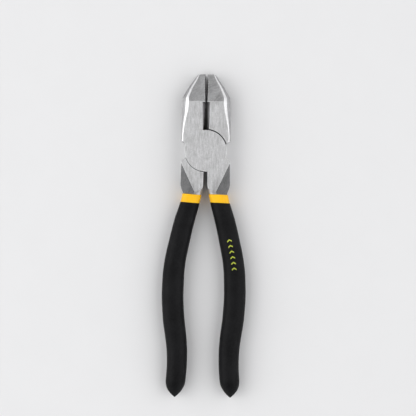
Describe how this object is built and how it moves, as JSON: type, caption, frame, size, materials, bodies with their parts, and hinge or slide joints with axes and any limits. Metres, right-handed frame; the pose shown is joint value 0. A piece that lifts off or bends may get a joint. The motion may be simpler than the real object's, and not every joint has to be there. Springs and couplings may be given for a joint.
{
  "type": "lineman pliers",
  "caption": "Lineman pliers with flat toothed jaws, side cutters, a flush lap joint and bowed double-dipped grips.",
  "frame": {"origin": "on the pivot axis, at the back face that the tool lies on", "axes": "+Y along the tool towards the jaw tips, +Z through the thickness out of the front face, +X to the right seen from the front"},
  "size_m": [0.0582, 0.2242, 0.0135],
  "materials": {
    "ground_steel": "fine ground, brushed lengthwise",
    "rivet_steel": "ground flush",
    "yellow_vinyl": "semi-gloss dipped plastisol",
    "black_vinyl": "semi-gloss dipped plastisol"
  },
  "bodies": {
    "rear_lever": {"rear_half": "ground_steel", "pivot_rivet": "rivet_steel", "left_underdip": "yellow_vinyl", "left_grip": "black_vinyl"},
    "front_lever": {"front_half": "ground_steel", "right_underdip": "yellow_vinyl", "right_grip": "black_vinyl"}
  },
  "joints": [
    {"name": "jaw_pivot", "type": "hinge", "parent": "rear_lever", "child": "front_lever", "pos_m": [0, 0, 0.00675], "axis": [0, 0, 1], "range_deg": [-2, 36.5]}
  ]
}
